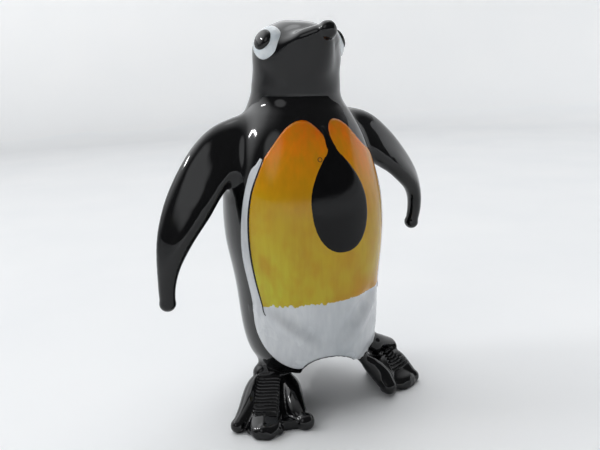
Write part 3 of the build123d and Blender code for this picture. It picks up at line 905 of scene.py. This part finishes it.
def bead(name, replaced, side, centre, out, radii, slot_name, seed):
    """A slightly uneven bead that faces outwards, given for the right side and mirrored for the left."""
    points, faces = ball_mesh((0, 0, 0), radii, BEAD_RINGS, BEAD_SIDES)
    for i, point in enumerate(points):
        wave = noise.noise(Vector(point) * BEAD_WAVE_SCALE + Vector((seed, 0, 0)))
        points[i] = point * (1 + BEAD_UNEVENNESS * wave)
    level, rise = square_axes(out)
    points = points @ np.array([level, rise, out]) + centre
    if side == LEFT:
        points = points * MIRROR
        faces = [face[::-1] for face in faces]
    made = piece(name, points, faces, slot_name)
    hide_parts(replaced)
    return made


way = eye_way(EYE_FRONT)
pupil_way = eye_way(EYE_FRONT - PUPIL_BACK)
eye_middle = EYE_SEAT - way * EYE_SINK
pupil_middle = eye_middle + pupil_way * PUPIL_OUT
# middle, way, radii, slot and seed
eye = (eye_middle, way, EYE_RADII, "white_glass", 4)
pupil = (pupil_middle, pupil_way, PUPIL_RADII, "black_glass", 8)
eye_whites = []
pupils = []
for side, word in ((RIGHT, "right"), (LEFT, "left")):
    eye_whites.append(bead(f"bead_{word}_eye", f"{word}_eye_white", side, *eye))
    pupils.append(bead(f"bead_{word}_pupil", f"{word}_pupil", side, *pupil))


# Materials: noise scales are waves for each millimetre, and stretches act along X, Y and Z


def material(name):
    made = bpy.data.materials.new(name)
    made.use_nodes = True
    tree = made.node_tree
    return made, tree, tree.nodes["Principled BSDF"]


def feed(tree, socket, value):
    """Links a socket to another one, or sets it to a constant."""
    if isinstance(value, bpy.types.NodeSocket):
        tree.links.new(value, socket)
    else:
        socket.default_value = value


def node(tree, kind, inputs=None, **settings):
    made = tree.nodes.new(kind)
    for key, value in settings.items():
        setattr(made, key, value)
    for key, value in (inputs or {}).items():
        feed(tree, made.inputs[key], value)
    return made


def math_node(tree, operation, *values, kind="ShaderNodeMath"):
    made = node(tree, kind, operation=operation)
    for socket, value in zip(made.inputs, values):
        feed(tree, socket, value)
    return next(s for s in made.outputs if s.enabled)


def vector_node(tree, operation, *values):
    return math_node(tree, operation, *values, kind="ShaderNodeVectorMath")


def millimetres(tree, stretch=(1, 1, 1)):
    """Object coordinates in millimetres, stretched."""
    place = node(tree, "ShaderNodeTexCoord").outputs["Object"]
    inputs = {"Vector": place, "Scale": tuple(s / MM for s in stretch)}
    return node(tree, "ShaderNodeMapping", inputs).outputs["Vector"]


def noise_node(tree, vector, scale, detail=3.0, roughness=0.5):
    inputs = {"Vector": vector, "Scale": scale, "Detail": detail, "Roughness": roughness}
    return node(tree, "ShaderNodeTexNoise", inputs).outputs["Fac"]


def ramp(tree, value, *stops):
    """Colours along a value, each stop with its position and colour."""
    made = node(tree, "ShaderNodeValToRGB", {"Fac": value})
    elements = made.color_ramp.elements
    while len(elements) < len(stops):
        elements.new(0.5)
    for element, (position, colour) in zip(elements, stops):
        element.position = position
        element.color = (*colour, 1)
    return made.outputs["Color"]


def remap(tree, value, low, high, to_low, to_high, interpolation="LINEAR"):
    inputs = {"Value": value, "From Min": low, "From Max": high, "To Min": to_low, "To Max": to_high}
    return node(tree, "ShaderNodeMapRange", inputs, interpolation_type=interpolation).outputs["Result"]


def mix(tree, factor, base, colour):
    """A base colour blended towards another one."""
    made = node(tree, "ShaderNodeMix", data_type="RGBA")
    for key, value in (("Factor", factor), ("A", base), ("B", (*colour, 1))):
        feed(tree, next(s for s in made.inputs if s.name == key and s.enabled), value)
    return next(s for s in made.outputs if s.enabled)


def paint(tree, shader, colour, roughness, index=1.5):
    """Sets what every finish has: its colour, roughness and refractive index."""
    for name, value in (("Base Color", colour), ("Roughness", roughness), ("IOR", index)):
        feed(tree, shader.inputs[name], value)


def bump(tree, shader, height, strength, distance):
    inputs = {"Height": height, "Strength": strength, "Distance": distance * MM}
    feed(tree, shader.inputs["Normal"], node(tree, "ShaderNodeBump", inputs).outputs["Normal"])


def split(tree, vector):
    """X, Y and Z of a vector."""
    return node(tree, "ShaderNodeSeparateXYZ", {"Vector": vector}).outputs


def black_glass(name, roughness, index):
    """Opaque black glass: nearly mirror smooth, with faint smoky streaks and handling marks."""
    made, tree, shader = material(name)
    place = millimetres(tree)
    streaks = noise_node(tree, millimetres(tree, (1, 1, 0.25)), 0.5, detail=4)
    colour = ramp(
        tree,
        streaks,
        (0.3, (0.002, 0.002, 0.0025)),
        (0.62, (0.0035, 0.0035, 0.004)),
        (0.8, (0.008, 0.008, 0.006)),
    )
    marks = noise_node(tree, place, 1.4, detail=6, roughness=0.6)
    paint(tree, shader, colour, remap(tree, marks, 0.35, 0.75, roughness, roughness + 0.07), index)
    bump(tree, shader, noise_node(tree, place, 0.3, detail=1), strength=0.25, distance=0.1)
    return made


def white_glass():
    """White eye bead: opal glass, a little blue, slightly cloudy."""
    made, tree, shader = material("opal white glass")
    place = millimetres(tree)
    clouds = noise_node(tree, place, 0.7)
    colour = ramp(tree, clouds, (0.3, (0.62, 0.68, 0.72)), (0.7, (0.8, 0.83, 0.84)))
    marks = noise_node(tree, place, 2.0)
    paint(tree, shader, colour, remap(tree, marks, 0.3, 0.7, 0.06, 0.14))
    bump(tree, shader, noise_node(tree, place, 0.9, detail=2), strength=0.2, distance=0.1)
    return made


def white_enamel():
    """Brushed white enamel: streaky, with fine ridges, greyer in the hollow of the belly, partly as
    thinner paint and partly as painted shade of the hollow.
    """
    made, tree, shader = material("white enamel")
    place = millimetres(tree)
    parts = split(tree, place)
    streaks = noise_node(tree, millimetres(tree, (1.2, 1.2, 0.3)), 0.8, detail=5, roughness=0.55)
    clouds = noise_node(tree, place, 0.16)
    base = ramp(
        tree,
        streaks,
        (0.25, (0.6, 0.62, 0.65)),
        (0.6, (0.7, 0.72, 0.74)),
        (0.85, (0.78, 0.79, 0.8)),
    )
    # Painted shade, together with thinner paint: the white turns greyer in the belly's hollow, most near
    # the middle and low down.
    aside = math_node(tree, "ABSOLUTE", math_node(tree, "ADD", parts["X"], 1.5))
    hollow_side = remap(tree, aside, 1.0, 7.5, 1.0, 0.0)
    hollow_low = remap(tree, parts["Z"], 16.0, 21.0, 1.0, 0.4)
    hollow = math_node(tree, "MULTIPLY", hollow_side, hollow_low)
    thin_paint_and_shade = math_node(tree, "MULTIPLY", hollow, remap(tree, clouds, 0.3, 0.7, 0.35, 0.8))
    colour = mix(tree, thin_paint_and_shade, base, (0.42, 0.46, 0.49))
    paint(tree, shader, colour, remap(tree, clouds, 0.3, 0.7, 0.16, 0.3))
    bump(tree, shader, streaks, strength=0.25, distance=0.06)
    return made


def yellow_enamel():
    """Brushed translucent enamel: orange at the throat, golden below, olive at the lower right flank."""
    made, tree, shader = material("yellow enamel")
    parts = split(tree, millimetres(tree))
    brush = noise_node(tree, millimetres(tree, (1.6, 1.6, 0.12)), 0.9, detail=5, roughness=0.6)
    clouds = noise_node(tree, millimetres(tree, (1, 1, 0.7)), 0.16)
    pools = noise_node(tree, millimetres(tree, (1, 1, 0.6)), 0.3, detail=2)
    height = math_node(tree, "MULTIPLY_ADD", clouds, 12.0, parts["Z"])
    golden = ramp(
        tree,
        remap(tree, height, 26.0, 60.0, 0.0, 1.0),
        (0.0, (0.55, 0.42, 0.02)),
        (0.25, (0.55, 0.37, 0.012)),
        (0.5, (0.56, 0.32, 0.006)),
        (0.68, (0.7, 0.28, 0.003)),
        (0.84, (0.82, 0.22, 0.002)),
        (1.0, (0.8, 0.13, 0.002)),
    )
    olive_side = remap(tree, parts["X"], -12.0, -3.0, 0.9, 0.0)
    olive_low = remap(tree, parts["Z"], 24.0, 42.0, 1.0, 0.0)
    olive = mix(tree, math_node(tree, "MULTIPLY", olive_side, olive_low), golden, (0.56, 0.54, 0.03))
    pooled = mix(tree, remap(tree, pools, 0.42, 0.68, 0.0, 0.6), olive, (0.5, 0.24, 0.003))
    rust_side = remap(tree, parts["X"], -3.0, 3.0, 0.0, 0.75)
    rust_low = remap(tree, parts["Z"], 22.5, 26.0, 1.0, 0.0)
    rusty = mix(tree, math_node(tree, "MULTIPLY", rust_side, rust_low), pooled, (0.55, 0.22, 0.005))
    streaked = mix(tree, remap(tree, brush, 0.35, 0.7, 0.0, 0.3), rusty, (0.42, 0.22, 0.004))
    paint(tree, shader, streaked, remap(tree, clouds, 0.3, 0.7, 0.1, 0.2), index=1.4)
    bump(tree, shader, brush, strength=0.15, distance=0.05)
    return made


def amber():
    """Rim of the burst bubble: darker, thicker enamel."""
    made, tree, shader = material("amber rim")
    clouds = noise_node(tree, millimetres(tree), 1.5)
    colour = ramp(tree, clouds, (0.35, (0.05, 0.025, 0.001)), (0.7, (0.12, 0.06, 0.002)))
    paint(tree, shader, colour, roughness=0.1)
    return made


def dress(pieces, finish):
    for made in pieces:
        made.data.materials.append(finish)


dress([*glass_pieces, *pupils], black_glass("black glass", roughness=0.035, index=1.45))
dress([drop_coat, *strokes], black_glass("black enamel", roughness=0.08, index=1.3))
dress(eye_whites, white_glass())
dress([belly], white_enamel())
dress([chest], yellow_enamel())
dress([bubble], amber())

# Floor: paper that sweeps up to a wall behind and a kerb in front, so that no horizon shows, in metres

CAMERA_AZIMUTH = math.radians(28)
ahead = Vector((math.sin(CAMERA_AZIMUTH), math.cos(CAMERA_AZIMUTH), 0))
FLOOR_RADIUS = 0.55
FLOOR_SINK = 0.00002  # just under the feet
SWEEP_RADIUS = 0.3
SWEEP_STEPS = 12
WALL_HEIGHT = 0.39
KERB_SHARE = 0.42  # of the wall's height
WALL_COSINES = (-0.1, 0.35)  # of the angle from straight behind, where the kerb rises to the wall
FLOOR_SIDES = 96


def floor_material():
    """Pale paper; where it rises it also shines, for the camera and in reflections only, with painted
    light that makes it brighter on the viewer's left.
    """
    made, tree, shader = material("pale paper")
    place = millimetres(tree)
    clouds = noise_node(tree, place, 0.02)
    colour = ramp(tree, clouds, (0.3, (0.83, 0.84, 0.85)), (0.7, (0.86, 0.865, 0.87)))
    paint(tree, shader, colour, roughness=0.6)
    bump(tree, shader, noise_node(tree, place, 0.6, detail=4), strength=0.15, distance=0.05)
    normal = node(tree, "ShaderNodeNewGeometry").outputs["Normal"]
    slope = vector_node(tree, "LENGTH", vector_node(tree, "MULTIPLY", normal, (1, 1, 0)))
    sideways = vector_node(tree, "DOT_PRODUCT", place, (ahead.y, -ahead.x, 0))
    # Painted light: the rising paper shines more on the viewer's left, as if lit from that side.
    sides = remap(tree, sideways, -500.0, 500.0, 0.8, 0.42)
    rear = remap(tree, vector_node(tree, "DOT_PRODUCT", place, ahead), 0.0, 300.0, 0.0, 1.0)
    raised = math_node(tree, "MULTIPLY", slope, math_node(tree, "MULTIPLY", sides, rear))
    path = node(tree, "ShaderNodeLightPath").outputs
    shown = math_node(tree, "MAXIMUM", path["Is Camera Ray"], path["Is Glossy Ray"])
    shown = math_node(tree, "MAXIMUM", shown, path["Is Transmission Ray"])
    feed(tree, shader.inputs["Emission Color"], colour)
    feed(tree, shader.inputs["Emission Strength"], math_node(tree, "MULTIPLY", raised, shown))
    return made


profile = [(FLOOR_RADIUS, 0.0)]
for step in range(1, SWEEP_STEPS + 1):
    bend = math.pi / 2 * step / SWEEP_STEPS
    profile.append((FLOOR_RADIUS + SWEEP_RADIUS * math.sin(bend), SWEEP_RADIUS * (1 - math.cos(bend))))
profile.append((FLOOR_RADIUS + SWEEP_RADIUS, WALL_HEIGHT))
floor_points = []
for radius, height in profile:
    for i in range(FLOOR_SIDES):
        turn = 2 * math.pi * i / FLOOR_SIDES
        around = Vector((math.cos(turn), math.sin(turn), 0))
        rise = KERB_SHARE + (1 - KERB_SHARE) * float(smoothstep(*WALL_COSINES, around.dot(ahead)))
        floor_points.append((radius * around.x, radius * around.y, height * rise - FLOOR_SINK))
floor_faces = [list(range(FLOOR_SIDES))] + band_faces(len(profile), FLOOR_SIDES)
floor = add_object("floor", smooth_mesh("floor", floor_points, floor_faces))
dress([floor], floor_material())
floor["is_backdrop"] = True

# Light: a dim room with broad soft light from behind, a window on the viewer's left and one small lamp

# heading, cosines of the angle from it at which the light starts and is full, and strength
ROOM_LIGHTS = (
    ((0, 0, 1), -1.0, 0.8, 0.14),
    ((0.1, 0.8, 0.7), 0.3, 0.9, 1.65),
    ((-0.6, 0.65, 0.45), 0.8, 0.95, 0.8),
    ((-0.8, -0.28, 0.58), 0.955, 0.985, 1.1),
    ((0.15, 0.25, 0.95), 0.965, 0.99, 1.6),
)
ROOM_COLOUR = (0.97, 0.985, 1.0, 1.0)
LAMP_PLACE = Vector((-0.4, 0.24, 0.36))
LAMP_TARGET = Vector((0, 0, 0.03))
LAMP_SIZE = (0.1, 0.02)
LAMP_POWER = 0.4


def soft_light(tree, direction, heading, low, high, strength):
    """Light from one side of the room that fades out away from its heading."""
    toward = vector_node(tree, "DOT_PRODUCT", direction, Vector(heading).normalized())
    return remap(tree, toward, low, high, 0.0, strength, "SMOOTHSTEP")


world = bpy.data.worlds.new("studio")
bpy.context.scene.world = world
world.use_nodes = True
room_tree = world.node_tree
room_direction = node(room_tree, "ShaderNodeTexCoord").outputs["Generated"]
total = 0.0
for row in ROOM_LIGHTS:
    total = math_node(room_tree, "ADD", total, soft_light(room_tree, room_direction, *row))
background = room_tree.nodes["Background"]
background.inputs["Color"].default_value = ROOM_COLOUR
feed(room_tree, background.inputs["Strength"], total)

lamp_data = bpy.data.lights.new("tube", "AREA")
lamp_data.shape = "RECTANGLE"
lamp_data.size, lamp_data.size_y = LAMP_SIZE
lamp_data.energy = LAMP_POWER
lamp = add_object("tube", lamp_data)
lamp.location = LAMP_PLACE
lamp.rotation_mode = "QUATERNION"
lamp.rotation_quaternion = (LAMP_TARGET - LAMP_PLACE).to_track_quat("-Z", "Y")

# Camera: the photograph's, in millimetres about the neck's axis like the figure
CAMERA_DISTANCE = 112.0
CAMERA_HEIGHT = 60.0
CAMERA_PITCH = math.radians(13.9)
CAMERA_ROLL = math.radians(-2.5)
CAMERA_LENS = 36.0
CAMERA_SENSOR = 36.0
CAMERA_CLIP = (0.001, 100.0)  # in metres

spot = Vector((0, 0, CAMERA_HEIGHT)) - ahead * CAMERA_DISTANCE
look = ahead * math.cos(CAMERA_PITCH) - Vector((0, 0, math.sin(CAMERA_PITCH)))
level_right = ahead.cross(Vector(UP))
level_up = level_right.cross(look)
view_right = level_right * math.cos(CAMERA_ROLL) + level_up * math.sin(CAMERA_ROLL)
view_up = level_up * math.cos(CAMERA_ROLL) - level_right * math.sin(CAMERA_ROLL)
camera_data = bpy.data.cameras.new("camera")
camera_data.lens = CAMERA_LENS
camera_data.sensor_width = CAMERA_SENSOR
camera_data.sensor_fit = "HORIZONTAL"
camera_data.clip_start, camera_data.clip_end = CAMERA_CLIP
camera = add_object("camera", camera_data)
view_turn = Matrix((view_right, view_up, -look)).transposed().to_4x4()
camera.matrix_world = Matrix.Translation(Vector(ORIGIN) + spot * MM) @ view_turn
bpy.context.scene.camera = camera
bpy.context.scene.view_settings.view_transform = "Standard"

bpy.context.view_layer.update()
low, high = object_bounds()
